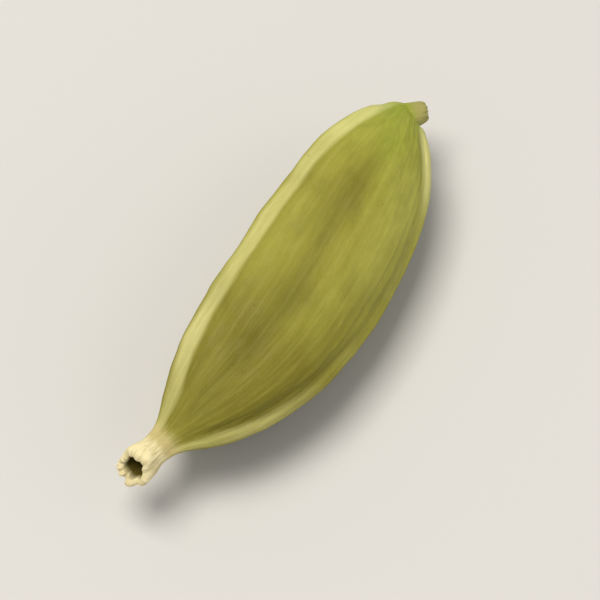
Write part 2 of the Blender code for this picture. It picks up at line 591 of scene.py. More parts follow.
    def relief(self, face: int, share: float, station: float, radius: float) -> float:
        """Gives how far the solid's keels, ribs and furrows lift the husk at a point.

        Args:
            face: The face that it is on.
            share: Its share of the face's width.
            station: How far along the pod it is.
            radius: The radius of its ring.

        Returns:
            The lift, in metres.
        """
        span = self.span(face, radius)
        scale = min(1.0, radius / self.full_relief_radius)
        wide = max(self.least_width, scale)
        to_keel = min(share, 1 - share) * span / wide
        lift = self.keel_height * hump(to_keel, self.keel_half_width)
        beside = to_keel - self.furrow_place * self.keel_half_width
        lift -= self.keel_furrow * hump(beside, self.keel_half_width)
        for at, height in self.ribs[face]:
            lift += height * MM * hump((share - at) * span / wide, self.rib_half_width)
        at, depth = self.furrows[face]
        lift -= depth * MM * hump((share - at) * span / wide, self.furrow_half_width)
        return lift * scale

    def swell(self, station: float, reach: float, angle: float) -> float:
        """Gives the low swellings that the seeds press into the husk."""
        place = Vector((station, reach * math.sin(angle), reach * math.cos(angle)))
        return self.seed_swell * noise.noise(place / self.seed_pitch + Vector(self.swell_seed))

    def shoulder(self, angle: float, station: float) -> float:
        """Gives the share by which the near keel's shoulder beside the beak lifts a point."""
        towards = max(0.0, math.cos(angle - math.radians(self.keel_angles[Keel.NEAR.value])))
        along = hump(station - self.shoulder_at, self.shoulder_half_length)
        return self.shoulder_height * towards**self.shoulder_narrowness * along

    def point(self, ring: Ring, face: int, share: float, skin: Skin | None = None) -> Vector:
        """Gives a point of the husk in the resting pose.

        Args:
            ring: The ring that it is on.
            face: The face that it is on.
            share: Its share of the face's width.
            skin: Its fine relief, or None for the solid's own form.

        Returns:
            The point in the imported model's frame.
        """
        station, radius = ring.station, ring.radius
        capsule = self.on_capsule(station)
        angle = self.section_angle(face, share, station)
        reach = radius * (1 + self.corner_reach(face, share) * capsule)
        reach += self.relief(face, share, station, radius) * mixed(self.relief_at_ends, 1.0, capsule)
        reach += self.swell(station, reach, angle) * capsule
        flared = max(0.0, (-self.neck_length - station) / self.collar_length)
        reach *= 1 + self.collar_lobe * flared * math.sin(self.collar_lobes * angle + self.lobe_turn)
        reach *= 1 + self.shoulder(angle, station)
        if skin is not None:
            reach = max(0.0, reach + skin.lift)
            station += skin.slip
        return self.place(station, reach * math.sin(angle), reach * math.cos(angle))

    def set_down(self, low: Vector, high: Vector) -> PodForm:
        """Gives the form moved into its solid's box.

        The middle and the top of the box are matched: its bottom is where the flat spot has cut the husk.

        Args:
            low: The solid's lowest corner.
            high: The solid's highest corner.

        Returns:
            The same form, with its shift set.
        """
        rings = self.stalk_rings() + self.body_rings(60, 0.0) + self.beak_rings()
        shares = [step / 32 for step in range(32)]
        places = [(ring, face.value, share) for ring in rings for face in Face for share in shares]
        points = [self.point(*place) for place in places]
        lowest = [min(point[axis] for point in points) for axis in range(3)]
        highest = [max(point[axis] for point in points) for axis in range(3)]
        middle = [(low[axis] + high[axis] - lowest[axis] - highest[axis]) / 2 for axis in range(2)]
        return replace(self, shift=(middle[0], middle[1], high.z - highest[2]))


class NodeBench:
    """Adds and joins the nodes of one material or node group."""

    def __init__(self, tree: bpy.types.NodeTree) -> None:
        """Keeps the node tree that the nodes go into."""
        self.tree = tree

    def add(self, kind: str, **values: object) -> bpy.types.Node:
        """Adds a node.

        Args:
            kind: The node's type name in Blender.
            values: Its properties.

        Returns:
            The node.
        """
        node = self.tree.nodes.new(kind)
        for name, value in values.items():
            setattr(node, name, value)
        return node

    def feed(self, socket: bpy.types.NodeSocket, value: object) -> None:
        """Joins a socket to another, or sets it to a plain value.

        Args:
            socket: The input.
            value: The output to join it to, its value, or None to leave it as it is.
        """
        if isinstance(value, bpy.types.NodeSocket):
            self.tree.links.new(value, socket)
        elif value is not None:
            socket.default_value = value

    def attribute(self, name: str, output: str = "Fac") -> bpy.types.NodeSocket:
        """Reads one of the piece's own attributes."""
        return self.add("ShaderNodeAttribute", attribute_name=name).outputs[output]

    def maths(self, operation: str, first: object, second: object = None) -> bpy.types.NodeSocket:
        """Works out one sum.

        Args:
            operation: The sum's name in Blender.
            first: The first value.
            second: The second value, where the sum takes one.

        Returns:
            The result.
        """
        node = self.add("ShaderNodeMath", operation=operation)
        self.feed(node.inputs[0], first)
        self.feed(node.inputs[1], second)
        return node.outputs[0]

    def times(self, first: object, second: object) -> bpy.types.NodeSocket:
        """Multiplies two values."""
        return self.maths("MULTIPLY", first, second)

    def span(
        self, value: object, low: float, high: float, to_low: float = 0.0, to_high: float = 1.0
    ) -> bpy.types.NodeSocket:
        """Stretches one run of values smoothly over another.

        Args:
            value: What is stretched.
            low: The value that becomes to_low.
            high: The value that becomes to_high.
            to_low: The first value of the result.
            to_high: The last value of the result.

        Returns:
            The result.
        """
        node = self.add("ShaderNodeMapRange", interpolation_type="SMOOTHSTEP")
        limits = {"From Min": low, "From Max": high, "To Min": to_low, "To Max": to_high}
        for name, number in limits.items():
            node.inputs[name].default_value = number
        self.feed(node.inputs["Value"], value)
        return node.outputs["Result"]

    def mix(self, factor: object, first: object, second: object) -> bpy.types.NodeSocket:
        """Mixes two colours.

        Args:
            factor: How much of the second one there is.
            first: The first colour.
            second: The second colour.

        Returns:
            The mixed colour.
        """
        node = self.add("ShaderNodeMix", data_type="RGBA")
        self.feed(node.inputs[0], factor)
        self.feed(node.inputs[6], first)
        self.feed(node.inputs[7], second)
        return node.outputs[2]

    def stretched(self, place: object, scale: object) -> bpy.types.NodeSocket:
        """Scales a place, axis by axis."""
        node = self.add("ShaderNodeVectorMath", operation="MULTIPLY")
        self.feed(node.inputs[0], place)
        self.feed(node.inputs[1], scale)
        return node.outputs[0]

    def noise(
        self, place: object, scale: object, detail: float, roughness: float = 0.5
    ) -> bpy.types.NodeSocket:
        """Gives a noise field.

        Args:
            place: Where it is read.
            scale: How many features it has in a unit of place.
            detail: How many finer layers it has.
            roughness: How strong the finer layers are.

        Returns:
            Values from 0 to 1.
        """
        node = self.add("ShaderNodeTexNoise", noise_dimensions="3D")
        self.feed(node.inputs["Vector"], place)
        self.feed(node.inputs["Scale"], scale)
        node.inputs["Detail"].default_value = detail
        node.inputs["Roughness"].default_value = roughness
        return node.outputs["Fac"]

    def ramp(self, factor: object, stops: Sequence[tuple[float, Colour]]) -> bpy.types.NodeSocket:
        """Runs through colours.

        Args:
            factor: How far along the run to read.
            stops: Places along the run, and their colours.

        Returns:
            The colour there.
        """
        node = self.add("ShaderNodeValToRGB")
        self.feed(node.inputs["Fac"], factor)
        elements = node.color_ramp.elements
        while len(elements) < len(stops):
            elements.new(0.5)
        for element, (place, colour) in zip(elements, stops, strict=True):
            element.position = place
            element.color = colour
        return node.outputs["Color"]

    def bump(self, shader: bpy.types.Node, height: object, strength: float, depth: float) -> None:
        """Gives a shader a fine bump.

        Args:
            shader: The shader.
            height: The bump's height field.
            strength: How strong it is.
            depth: How deep it is, in metres.
        """
        node = self.add("ShaderNodeBump")
        node.inputs["Strength"].default_value = strength
        node.inputs["Distance"].default_value = depth
        self.feed(node.inputs["Height"], height)
        self.feed(shader.inputs["Normal"], node.outputs["Normal"])

    def place_group(self, group: bpy.types.NodeTree, **values: object) -> bpy.types.Node:
        """Places a shared node group, with this material's own values.

        Args:
            group: The node group.
            values: Its inputs, with _ for a space in their names.

        Returns:
            The group's node.
        """
        node = self.add("ShaderNodeGroup", node_tree=group)
        for name, value in values.items():
            self.feed(node.inputs[name.replace("_", " ")], value)
        return node


class PlantEffects:
    """The node groups that the pod's materials share."""

    def __init__(self) -> None:
        """Builds each group once."""
        self.fibre = self.build("plant_fibre", self.wire_fibre)
        self.mottle = self.build("dry_mottle", self.wire_mottle)
        self.freckles = self.build("brown_freckles", self.wire_freckles)

    def build(self, name: str, wire: Callable[[bpy.types.NodeTree], None]) -> bpy.types.NodeTree:
        """Makes a group and has it wired.

        Args:
            name: The group's name.
            wire: The method that adds its sockets and nodes.

        Returns:
            The group.
        """
        tree = bpy.data.node_groups.new(name, "ShaderNodeTree")
        wire(tree)
        return tree

    def sockets(self, tree: bpy.types.NodeTree, way: str, **kinds: object) -> None:
        """Adds named inputs or outputs to a group.

        Args:
            tree: The group.
            way: INPUT or OUTPUT.
            kinds: Each socket's kind, or its usual value where it is a plain number.
        """
        for name, kind in kinds.items():
            plain = isinstance(kind, float)
            socket_type = "NodeSocketFloat" if plain else f"NodeSocket{kind}"
            made = tree.interface.new_socket(name=name, in_out=way, socket_type=socket_type)
            if plain:
                made.default_value = kind

    def wire_fibre(self, tree: bpy.types.NodeTree) -> None:
        """Wires long dry fibres: a Mask for colour, and a Height for bump.

        Args:
            tree: The group, still empty.
        """
        self.sockets(tree, "INPUT", Place="Vector", Across=6.0, Along=0.35)
        self.sockets(tree, "OUTPUT", Mask="Float", Height="Float")
        bench = NodeBench(tree)
        inside, outside = bench.add("NodeGroupInput"), bench.add("NodeGroupOutput")
        scale = bench.add("ShaderNodeCombineXYZ")
        bench.feed(scale.inputs[0], inside.outputs["Along"])
        bench.feed(scale.inputs[1], inside.outputs["Across"])
        bench.feed(scale.inputs[2], inside.outputs["Across"])
        place = bench.stretched(inside.outputs["Place"], scale.outputs[0])
        broad = bench.noise(place, 1.0, 3.0, 0.55)
        fine = bench.noise(place, 3.1, 2.0, 0.6)
        height = bench.maths("ADD", bench.times(broad, 0.6), bench.times(fine, 0.4))
        bench.feed(outside.inputs["Mask"], bench.span(height, 0.38, 0.64))
        bench.feed(outside.inputs["Height"], height)

    def wire_mottle(self, tree: bpy.types.NodeTree) -> None:
        """Wires uneven drying: a colour that drifts to a second and in spots to a third.

        Args:
            tree: The group, still empty.
        """
        self.sockets(tree, "INPUT", Place="Vector", Scale=0.6, Base="Color", Drift="Color", Spot="Color")
        self.sockets(tree, "OUTPUT", Colour="Color", Mask="Float")
        bench = NodeBench(tree)
        inside, outside = bench.add("NodeGroupInput"), bench.add("NodeGroupOutput")
        place = bench.stretched(inside.outputs["Place"], (0.55, 1.0, 1.0))
        broad = bench.span(bench.noise(place, inside.outputs["Scale"], 3.0, 0.5), 0.36, 0.66)
        fine_scale = bench.times(inside.outputs["Scale"], 4.3)
        spots = bench.span(bench.noise(place, fine_scale, 4.0, 0.62), 0.52, 0.72)
        colour = bench.mix(broad, inside.outputs["Base"], inside.outputs["Drift"])
        colour = bench.mix(bench.times(spots, 0.6), colour, inside.outputs["Spot"])
        bench.feed(outside.inputs["Colour"], colour)
        bench.feed(outside.inputs["Mask"], broad)

    def wire_freckles(self, tree: bpy.types.NodeTree) -> None:
        """Wires small scattered specks of uneven size.

        Args:
            tree: The group, still empty.
        """
        self.sockets(tree, "INPUT", Place="Vector", Scale=2.2, Size=0.12)
        self.sockets(tree, "OUTPUT", Mask="Float")
        bench = NodeBench(tree)
        inside, outside = bench.add("NodeGroupInput"), bench.add("NodeGroupOutput")
        bent = bench.add("ShaderNodeVectorMath", operation="ADD")
        wobble = bench.add("ShaderNodeTexNoise")
        bench.feed(wobble.inputs["Vector"], inside.outputs["Place"])
        wobble.inputs["Scale"].default_value = 5.0
        bench.feed(bent.inputs[0], inside.outputs["Place"])
        bench.feed(bent.inputs[1], bench.stretched(wobble.outputs["Color"], (0.12, 0.12, 0.12)))
        cells = bench.add("ShaderNodeTexVoronoi", feature="F1")
        bench.feed(cells.inputs["Vector"], bent.outputs[0])
        bench.feed(cells.inputs["Scale"], inside.outputs["Scale"])
        chance = bench.add("ShaderNodeSeparateColor")
        bench.feed(chance.inputs[0], cells.outputs["Color"])
        size = bench.times(inside.outputs["Size"], bench.span(chance.outputs[0], 0.45, 1.0))
        edge = bench.maths("SUBTRACT", size, cells.outputs["Distance"])
        bench.feed(outside.inputs["Mask"], bench.span(edge, 0.0, 0.035))


@dataclass(frozen=True)
class HuskFinish:
    """The dry green husk: olive face, straw keels and veins, tan neck, cream collar, and shade painted into
    its furrows and pit.

    Attributes:
        shade: The face towards the stalk.
        deep: The darkest patches.
        face: The face along its middle.
        upper: The face towards the beak.
        light: The lightest patches.
        fresh: The greenest part, beside the beak.
        spot: The spots of its mottle.
        straw: Veins and streaks of fibre.
        keel: The cords along the keels.
        crease: The shade painted into the bottoms of furrows, folds, dents and wrinkles.
        neck: The neck, and the collar's stains.
        collar: The collar.
        pit: The shade painted inside the pit that the stalk left.
        flower: The beak's end.
        freckle: Scattered specks.
        drift: How far the colours along the pod wander, as a share of its length.
        patches: How strongly light and dark patches colour it.
        broad_mottle: How strong the broad mottle is.
        fine_mottle: How strong the fine mottle is.
        streaks: How strong the streaks of fibre are.
        veins: How strong the veins' colour is.
        hollow_shade_strength: How dark the shade painted into furrows and folds is.
        keel_cover: How much of a keel's colour shows between streaks.
        keel_streaks: How much more shows on a streak.
        specks: How strong the freckles are.
        stains: How far stains hide the collar's colour.
        ragged: How uneven the edges of the ends' colours are.
        roughness: Its least and its most roughness.
        specular: How strong its gloss is.
        pore_height: How high pores are beside the fibre.
        bump_strength: How strong the bump is.
        bump_depth: How deep the bump is, in metres.
        thin_glow: How much light goes into the husk.
        glow_colour: How far red, green and blue go in, for each unit of glow_depth.
        glow_depth: That unit, in metres.
    """

    shade: Colour = srgb(118, 110, 26)
    deep: Colour = srgb(102, 95, 14)
    face: Colour = srgb(140, 135, 46)
    upper: Colour = srgb(147, 147, 52)
    light: Colour = srgb(166, 164, 74)
    fresh: Colour = srgb(142, 153, 42)
    spot: Colour = srgb(118, 112, 32)
    straw: Colour = srgb(180, 173, 88)
    keel: Colour = srgb(208, 202, 132)
    # Shade painted into furrows, folds, dents and wrinkles
    crease: Colour = srgb(88, 82, 16)
    neck: Colour = srgb(190, 174, 116)
    collar: Colour = srgb(228, 214, 166)
    # Painted shade inside the stalk's pit
    pit: Colour = srgb(80, 68, 6)
    flower: Colour = srgb(158, 149, 90)
    freckle: Colour = srgb(92, 72, 26)
    drift: float = 0.35
    patches: float = 0.70
    broad_mottle: float = 0.20
    fine_mottle: float = 0.13
    streaks: float = 0.11
    veins: float = 0.13
    # How strongly that painted shade darkens them
    hollow_shade_strength: float = 0.42
    keel_cover: float = 0.74
    keel_streaks: float = 0.22
    specks: float = 0.45
    stains: float = 0.60
    ragged: float = 2.4
    roughness: tuple[float, float] = (0.56, 0.72)
    specular: float = 0.20
    pore_height: float = 0.45
    bump_strength: float = 0.6
    bump_depth: float = 0.045 * MM
    thin_glow: float = 0.08
    glow_colour: tuple[float, float, float] = (1.0, 0.75, 0.25)
    glow_depth: float = 0.35 * MM

    def dress(self, piece: bpy.types.Object, effects: PlantEffects) -> None:
        """Gives the husk its material.

        Args:
            piece: The husk.
            effects: The shared node groups.
        """
        material = bpy.data.materials.new("dry_green_husk")
        material.use_nodes = True
        bench = NodeBench(material.node_tree)
        shader = material.node_tree.nodes["Principled BSDF"]
        grain = bench.attribute("grain", "Vector")
        fibre = bench.place_group(effects.fibre, Place=grain, Across=8.0, Along=0.35)
        colour = self.face_colour(bench, effects, grain)
        colour = self.fibre_colour(bench, colour, fibre.outputs["Mask"])
        specks = bench.place_group(effects.freckles, Place=grain, Scale=1.6, Size=0.10)
        colour = bench.mix(bench.times(specks.outputs["Mask"], self.specks), colour, self.freckle)
        colour = self.end_colour(bench, colour, grain)
        bench.feed(shader.inputs["Base Color"], colour)
        self.surface(bench, shader, grain, fibre.outputs["Height"])
        piece.data.materials.append(material)

    def face_colour(
        self, bench: NodeBench, effects: PlantEffects, grain: bpy.types.NodeSocket
    ) -> bpy.types.NodeSocket:
        """Gives the capsule's ground colour, greener and lighter towards the beak.

        Args:
            bench: The material's nodes.
            effects: The shared node groups.
            grain: The place on the husk, in millimetres.

        Returns:
            The colour.
        """
        drift = bench.maths("SUBTRACT", bench.noise(grain, 0.30, 2.0), 0.5)
        along = bench.maths("ADD", bench.attribute("along"), bench.times(drift, self.drift))
        stops = (
            (0.0, self.face),
            (0.13, self.shade),
            (0.30, self.shade),
            (0.46, self.face),
            (0.66, self.face),
            (0.82, self.upper),
            (0.95, self.fresh),
        )
        ground = bench.ramp(along, stops)
        for name, patch in (("light", self.light), ("dark", self.deep)):
            ground = bench.mix(bench.times(bench.attribute(name), self.patches), ground, patch)
        broad = bench.place_group(
            effects.mottle, Place=grain, Scale=0.45, Base=ground, Drift=self.face, Spot=self.spot
        )
        fine = bench.place_group(
            effects.mottle, Place=grain, Scale=2.3, Base=ground, Drift=self.spot, Spot=self.light
        )
        colour = bench.mix(self.broad_mottle, ground, broad.outputs["Colour"])
        return bench.mix(self.fine_mottle, colour, fine.outputs["Colour"])

    def fibre_colour(
        self, bench: NodeBench, colour: bpy.types.NodeSocket, streaks: bpy.types.NodeSocket
    ) -> bpy.types.NodeSocket:
        """Adds pale fibre, veins and keels, and shade painted into the creases.

        Args:
            bench: The material's nodes.
            colour: The colour so far.
            streaks: The mask of the fibre's streaks.

        Returns:
            The colour.
        """
        colour = bench.mix(bench.times(streaks, self.streaks), colour, self.straw)
        colour = bench.mix(bench.times(bench.attribute("vein"), self.veins), colour, self.straw)
        # Paints shade into furrows, dents, wrinkle troughs and creases
        colour = bench.mix(bench.times(bench.attribute("hollow_shade"), self.hollow_shade_strength), colour, self.crease)
        worn = bench.maths("ADD", self.keel_cover, bench.times(streaks, self.keel_streaks))
        return bench.mix(bench.times(bench.attribute("keel"), worn), colour, self.keel)

    def end_colour(
        self, bench: NodeBench, colour: bpy.types.NodeSocket, grain: bpy.types.NodeSocket
    ) -> bpy.types.NodeSocket:
        """Turns the colour tan and cream at the stalk, dark with painted shade in the pit, and straw at the
        flower's scar.

        Args:
            bench: The material's nodes.
            colour: The colour so far.
            grain: The place on the husk, in millimetres.

        Returns:
            The colour.
        """
        uneven = bench.maths("SUBTRACT", bench.noise(grain, 2.6, 3.0), 0.5)
        stalk = self.blurred(bench, "stalk", uneven)
        colour = bench.mix(bench.span(stalk, 0.08, 0.55, 0.0, 0.9), colour, self.neck)
        stain = bench.noise(bench.stretched(grain, (0.6, 1.0, 1.0)), 2.2, 4.0)
        collar = bench.mix(bench.span(stain, 0.40, 0.66, 0.0, self.stains), self.collar, self.neck)
        colour = bench.mix(bench.span(stalk, 0.62, 0.92, 0.0, 0.95), colour, collar)
        flower = self.blurred(bench, "flower", uneven)
        colour = bench.mix(bench.span(flower, 0.15, 0.9, 0.0, 0.85), colour, self.flower)
        # Paints shade inside the pit
        return bench.mix(bench.attribute("pit"), colour, self.pit)

    def blurred(self, bench: NodeBench, name: str, uneven: bpy.types.NodeSocket) -> bpy.types.NodeSocket:
        """Makes the edge of an end's mask uneven, and leaves the rest of the pod at 0.

        Args:
            bench: The material's nodes.
            name: The mask's name.
            uneven: What moves the edge, from -0.5 to 0.5.

        Returns:
            The mask.
        """
        mask = bench.attribute(name)
        edge = bench.times(mask, bench.maths("SUBTRACT", 1.0, mask))
        wander = bench.times(bench.times(edge, self.ragged), uneven)
        return bench.maths("ADD", mask, wander)

    def surface(
        self,
        bench: NodeBench,
        shader: bpy.types.Node,
        grain: bpy.types.NodeSocket,
        height: bpy.types.NodeSocket,
    ) -> None:
        """Sets the gloss, the fine bump and the thin husk's glow.

        Args:
            bench: The material's nodes.
            shader: Its shader.
            grain: The place on the husk, in millimetres.
            height: The height of the fibre.
        """
        rough = bench.span(bench.noise(grain, 1.7, 3.0), 0.3, 0.7, *self.roughness)
        bench.feed(shader.inputs["Roughness"], rough)
        pores = bench.noise(bench.stretched(grain, (0.6, 1.0, 1.0)), 15.0, 3.0, 0.6)
        relief = bench.maths("ADD", height, bench.times(pores, self.pore_height))
        bench.bump(shader, relief, self.bump_strength, self.bump_depth)
        shader.inputs["Specular IOR Level"].default_value = self.specular
        shader.inputs["Subsurface Weight"].default_value = self.thin_glow
        shader.inputs["Subsurface Radius"].default_value = self.glow_colour
        shader.inputs["Subsurface Scale"].default_value = self.glow_depth


@dataclass(frozen=True)
class ScrapFinish:
    """Dry plant scraps: stalk fibres, the pith and what is left of the flower.

    Attributes:
        name: The material's name.
        base: The main colour.
        drift: The colour that it drifts to.
        spot: The colour of its spots.
        roughness: How matt it is.
        across: How many fibres it has in a millimetre across them.
        along: How many features its fibre has in a millimetre along it.
        mottle: How many features its mottle has in a millimetre.
        streaks: How strong its streaks are.
        uneven_gloss: How much smoother and how much rougher it is in places.
        bump_strength: How strong its bump is.
        bump_depth: How deep its bump is, in metres.
        specular: How strong its gloss is.
    """

    name: str
    base: Colour
    drift: Colour
    spot: Colour
    roughness: float = 0.7
    across: float = 9.0
    along: float = 1.2
    mottle: float = 2.0
    streaks: float = 0.35
    uneven_gloss: tuple[float, float] = (-0.08, 0.1)
    bump_strength: float = 0.6
    bump_depth: float = 0.02 * MM
    specular: float = 0.35

    def dress(self, piece: bpy.types.Object, effects: PlantEffects) -> None:
        """Gives a scrap its material.

        Args:
            piece: The scrap.
            effects: The shared node groups.
        """
        material = bpy.data.materials.new(self.name)
        material.use_nodes = True
        bench = NodeBench(material.node_tree)
        shader = material.node_tree.nodes["Principled BSDF"]
        where = bench.add("ShaderNodeTexCoord").outputs["Object"]
        place = bench.stretched(where, (1 / MM, 1 / MM, 1 / MM))
        fibre = bench.place_group(effects.fibre, Place=place, Across=self.across, Along=self.along)
        colours = {"Base": self.base, "Drift": self.drift, "Spot": self.spot}
        mottle = bench.place_group(effects.mottle, Place=place, Scale=self.mottle, **colours)
        streaks = bench.times(fibre.outputs["Mask"], self.streaks)
        bench.feed(shader.inputs["Base Color"], bench.mix(streaks, mottle.outputs["Colour"], self.drift))
        smoother, rougher = (self.roughness + change for change in self.uneven_gloss)
        rough = bench.span(mottle.outputs["Mask"], 0.0, 1.0, smoother, rougher)
        bench.feed(shader.inputs["Roughness"], rough)
        bench.bump(shader, fibre.outputs["Height"], self.bump_strength, self.bump_depth)
        shader.inputs["Specular IOR Level"].default_value = self.specular
        piece.data.materials.append(material)


def new_piece(name: str, bm: bmesh.types.BMesh) -> bpy.types.Object:
    """Makes a smooth-shaded object from a bmesh, and frees the bmesh.

    Args:
        name: The piece's name.
        bm: Its mesh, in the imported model's frame.

    Returns:
        The object, at the origin.
    """
    mesh = bpy.data.meshes.new(name)
    bm.to_mesh(mesh)
    bm.free()
    mesh.shade_smooth()
    piece = bpy.data.objects.new(name, mesh)
    bpy.context.scene.collection.objects.link(piece)
    return piece


@dataclass(frozen=True)
class Husk:
    """The husk in fine relief: capsule, keels, veins, neck, collar, pit and beak in one skin.

    Heights, widths and distances on the skin are in millimetres.

    Attributes:
        form: The form that it shares with the solid.
        per_face: How many columns each face has.
        crowding: How far the columns crowd towards the keels.
        capsule_rings: How many rings the capsule has.
        evenness: How evenly those are spaced.
        end_parts: How many steps each gap between the ends' rings is split into.
        veins_per_face: How many fine veins each face has.
        vein_heights: The veins' usual height on each face.
        vein_widths: The least and the most half width of a vein.
        usual_radius: The radius of the circle that noise is read on.
        full_width: The radius from which relief has its full size, in metres.
        least_width: The least share of that by which the keels draw together.
        keel_wander: How far the keels' lines wander.
        cord_width: Half the width of a keel's cord.
        cord_edge: How wide a cord's soft edge is.
        cord_height: How far a cord stands out beyond the solid's keel.
        cord_beads: How far its beads, and its grooves, change that.
        furrow_at: How far the furrow beside a keel is from its line.
        dent_height: How high the broad dents are.
        wrinkle_height: How high the wrinkles are.
        wrinkle_level: How much of a wrinkle's height lies below the husk.
        wrinkle_shares: How strong the wrinkles are, and how much stronger at the ends.
        wrinkles: The noise that they follow.
        puckers: The puckers beside the keels.
        fibres: The finest fibre.
        flutes: The flutes of the neck, collar and beak.
        filled: From where to where the near keel's furrow has filled out, as shares of the length.
        filled_run: The share of the length over which it does so.
        filled_height: How high it is filled, and how far the cord beside it is lowered.
        creases: The long soft folds.
        patches: The lighter and darker patches of its colour.
        tones: How pale the far, near and lower keels are.
        pale_reach: How far a keel's paleness reaches, at the stalk and at the beak.
        pale_edge: How wide its soft edge is, at the stalk and at the beak.
        pale_ragged: What makes that edge uneven.
        torn: How far the collar's rim, and the beak's tip, are torn.
        torn_reach: How far along the pod each of those tears reaches, in metres.
        seed: What the veins' places are drawn from.
    """

    form: PodForm
    per_face: int = 150
    crowding: float = 0.35
    capsule_rings: int = 158
    evenness: float = 0.4
    end_parts: int = 3
    veins_per_face: int = 11
    vein_heights: tuple[float, float, float] = (0.016, 0.024, 0.026)
    vein_widths: tuple[float, float] = (0.055, 0.095)
    usual_radius: float = 3.3
    full_width: float = 1.6 * MM
    least_width: float = 0.4
    keel_wander: float = 0.05
    cord_width: float = 0.35
    cord_edge: float = 0.12
    cord_height: float = 0.045
    cord_beads: float = 0.022
    furrow_at: float = 0.62
    dent_height: float = 0.045
    wrinkle_height: float = 0.032
    wrinkle_level: float = 0.2
    wrinkle_shares: tuple[float, float] = (0.35, 0.9)
    wrinkles: Layer = Layer(1.0, 1.15, 1.5)
    puckers: Layer = Layer(0.020, 2.4, 2.2, 40.0)
    fibres: tuple[Layer, ...] = (Layer(0.011, 0.4, 4.6), Layer(0.0066, 0.8, 8.0, 9.0))
    flutes: tuple[Layer, ...] = (Layer(0.016, 0.5, 2.6, 20.0), Layer(0.010, 1.4, 5.0, 26.0))
    filled: tuple[float, float] = (0.36, 0.88)
    filled_run: float = 0.10
    filled_height: tuple[float, float] = (0.085, 0.06)
    creases: tuple[Crease, ...] = (
        Crease(Face.UPPER, 0.80, 0.28, 0.04, 0.42, 0.055, 0.30),
        Crease(Face.UPPER, 0.44, 0.0, 0.16, 0.98, 0.035, 0.60),
        Crease(Face.NEAR, 0.22, -0.05, 0.08, 0.62, 0.060, 0.30),
        Crease(Face.NEAR, 0.70, 0.05, 0.40, 0.96, 0.055, 0.34),
        Crease(Face.FAR, 0.34, 0.10, 0.30, 0.95, 0.060, 0.32),
        Crease(Face.FAR, 0.74, -0.06, 0.05, 0.50, 0.050, 0.30),
    )
    patches: tuple[Patch, ...] = (
        Patch(Face.UPPER, 0.42, 14.4, 1.5, 0.95, -0.95),
        Patch(Face.UPPER, 0.38, 5.2, 2.9, 1.10, -1.05),
        Patch(Face.UPPER, 0.45, 9.2, 2.4, 0.80, -0.45),
        Patch(Face.UPPER, 0.74, 4.6, 2.2, 0.60, -0.15),
        Patch(Face.UPPER, 0.80, 15.0, 2.6, 1.15, 1.0),
        Patch(Face.UPPER, 0.76, 11.6, 2.4, 1.10, 0.50),
        Patch(Face.UPPER, 0.16, 9.0, 6.5, 0.75, 0.28),
        Patch(Face.UPPER, 0.63, 9.1, 1.5, 0.13, 0.60),
        Patch(Face.UPPER, 0.28, 17.4, 1.2, 0.70, 0.12),
        Patch(Face.NEAR, 0.32, 6.2, 2.4, 1.00, -0.60),
        Patch(Face.NEAR, 0.62, 13.0, 2.6, 1.10, 0.50),
        Patch(Face.NEAR, 0.40, 15.6, 1.6, 0.90, -0.45),
        Patch(Face.FAR, 0.38, 7.4, 2.4, 1.00, 0.45),
        Patch(Face.FAR, 0.62, 12.4, 2.4, 1.10, -0.55),
        Patch(Face.FAR, 0.70, 4.2, 1.8, 0.90, -0.50),
    )
    tones: tuple[KeelTone, KeelTone, KeelTone] = (
        KeelTone(0.62, beak=0.18, inwards=(0.34, 0.26)),
        KeelTone(0.08, 0.38, 0.82, 0.74, 0.14, (-0.19, -0.22)),
        KeelTone(0.80),
    )
    pale_reach: tuple[float, float] = (0.42, 0.58)
    pale_edge: tuple[float, float] = (0.30, 0.50)
    pale_ragged: Layer = Layer(0.05, 0.9, 2.0, 30.0)
    torn: tuple[float, float] = (0.13, 0.12)
    torn_reach: tuple[float, float] = (0.18 * MM, 0.16 * MM)
    seed: int = 11

    def veins(self) -> list[list[Vein]]:
        """Draws the fine veins of each face.

        Returns:
            The veins, face by face.
        """
        draw = random.Random(self.seed)
        faces = []
        for face in Face:
            row = []
            for index in range(self.veins_per_face):
                at = (index + 0.5 + draw.uniform(-0.3, 0.3)) / self.veins_per_face
                height = self.vein_heights[face.value] * draw.uniform(0.55, 1.5)
                half_width = draw.uniform(*self.vein_widths)
                row.append(Vein(0.05 + 0.9 * at, height, half_width, draw.uniform(0, 90)))
            faces.append(row)
        return faces

    def rings(self) -> list[Ring]:
        """Gives the husk's rings: those of the solid, with finer ones between them at both ends."""
        stalk = self.form.stalk_rings()
        body = self.form.body_rings(self.capsule_rings, self.evenness)
        beak = self.form.beak_rings()
        ends = (stalk + body[:1], body[-1:] + beak)
        first, last = (self.refined(rings, self.end_parts) for rings in ends)
        return first[:-1] + body + last[1:]

    def refined(self, rings: list[Ring], parts: int) -> list[Ring]:
        """Puts rings on a smooth curve through those given.

        Args:
            rings: The rings to pass through.
            parts: How many steps each gap is split into.

        Returns:
            The rings given and those between them.
        """
        fine = []
        for index in range(len(rings) - 1):
            around = [rings[min(max(index + step, 0), len(rings) - 1)] for step in (-1, 0, 1, 2)]
            for part in range(parts):
                share = part / parts
                station = self.curve([ring.station for ring in around], share)
                radius = max(0.0, self.curve([ring.radius for ring in around], share))
                fine.append(Ring(station, radius, rings[index].zone))
        return fine + [rings[-1]]

    def curve(self, values: Sequence[float], share: float) -> float:
        """Gives a value on a smooth curve through four.

        Args:
            values: The four.
            share: How far it is from the second to the third.

        Returns:
            The value there.
        """
        before, first, last, after = values
        rise = (last - before) / 2
        fall = (after - first) / 2
        cube = 2 * (first - last) + rise + fall
        square = 3 * (last - first) - 2 * rise - fall
        return ((cube * share + square) * share + rise) * share + first

